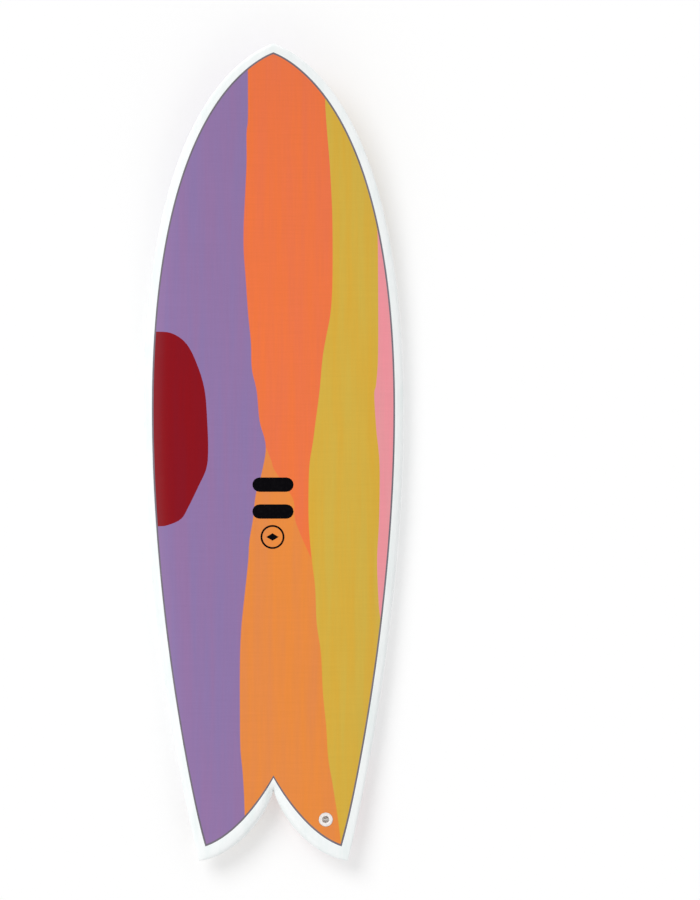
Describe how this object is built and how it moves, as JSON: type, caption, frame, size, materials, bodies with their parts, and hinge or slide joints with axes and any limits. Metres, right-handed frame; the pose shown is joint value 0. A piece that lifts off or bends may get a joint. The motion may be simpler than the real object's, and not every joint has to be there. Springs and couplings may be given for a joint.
{
  "type": "swallow-tail surfboard",
  "caption": "Short wide surfboard with a swallow tail, white rails round coloured cloth inlays, fin boxes under the tail and a leash plug on the deck.",
  "frame": {"origin": "on the board's centreline, midway between nose tip and tail tips, at the height of the lowest point of the curved bottom, deck up", "axes": "+Y along the board to the nose, +X to the rider's right rail, +Z out of the deck"},
  "size_m": [0.542, 1.702, 0.126],
  "materials": {
    "clear_laminate": "clear glass cloth and resin skin, sanded and polished to a high gloss",
    "white_lap": "white pigmented resin and glass lap",
    "pinline_resin": "thin dark resin line",
    "purple_cloth": "dyed cotton cloth set in resin",
    "crimson_cloth": "dyed cotton cloth set in resin",
    "coral_cloth": "dyed cotton cloth set in resin",
    "orange_cloth": "dyed cotton cloth set in resin",
    "mustard_cloth": "dyed cotton cloth set in resin",
    "pink_cloth": "dyed cotton cloth set in resin",
    "foam": "shaped and sanded foam",
    "dense_foam": "routed high-density foam",
    "stringer_wood": "planed softwood strip",
    "box_plastic": "moulded glass-filled nylon, sanded flush",
    "stainless_steel": "turned stainless steel"
  },
  "bodies": {
    "board": {"bottom_laminate": "clear_laminate", "bottom_panel_coral": "coral_cloth", "bottom_panel_crimson": "crimson_cloth", "bottom_panel_mustard": "mustard_cloth", "bottom_panel_orange": "orange_cloth", "bottom_panel_pink": "pink_cloth", "bottom_panel_purple": "purple_cloth", "bottom_pinline_front": "pinline_resin", "bottom_pinline_tail": "pinline_resin", "deck_laminate": "clear_laminate", "deck_panel_coral": "coral_cloth", "deck_panel_crimson": "crimson_cloth", "deck_panel_mustard": "mustard_cloth", "deck_panel_orange": "orange_cloth", "deck_panel_pink": "pink_cloth", "deck_panel_purple": "purple_cloth", "deck_pinline": "pinline_resin", "fin_box_foam_left": "dense_foam", "fin_box_foam_right": "dense_foam", "fin_box_left": "box_plastic", "fin_box_right": "box_plastic", "foam_core_left": "foam", "foam_core_right": "foam", "leash_plug_cup": "box_plastic", "leash_plug_foam": "dense_foam", "leash_plug_pin": "stainless_steel", "rail_lap_left": "white_lap", "rail_lap_right": "white_lap", "stringer": "stringer_wood", "tail_lap": "white_lap"},
    "set_screw_left": {"fin_screw_left": "stainless_steel"},
    "set_screw_right": {"fin_screw_right": "stainless_steel"}
  },
  "joints": [
    {"name": "set_screw_left_travel", "type": "slide", "parent": "board", "child": "set_screw_left", "axis": [-0.0025, -0.072, -0.9974], "range_m": [-0.0025, 0.002]},
    {"name": "set_screw_right_travel", "type": "slide", "parent": "board", "child": "set_screw_right", "axis": [0.0025, -0.072, -0.9974], "range_m": [-0.0025, 0.002]}
  ]
}
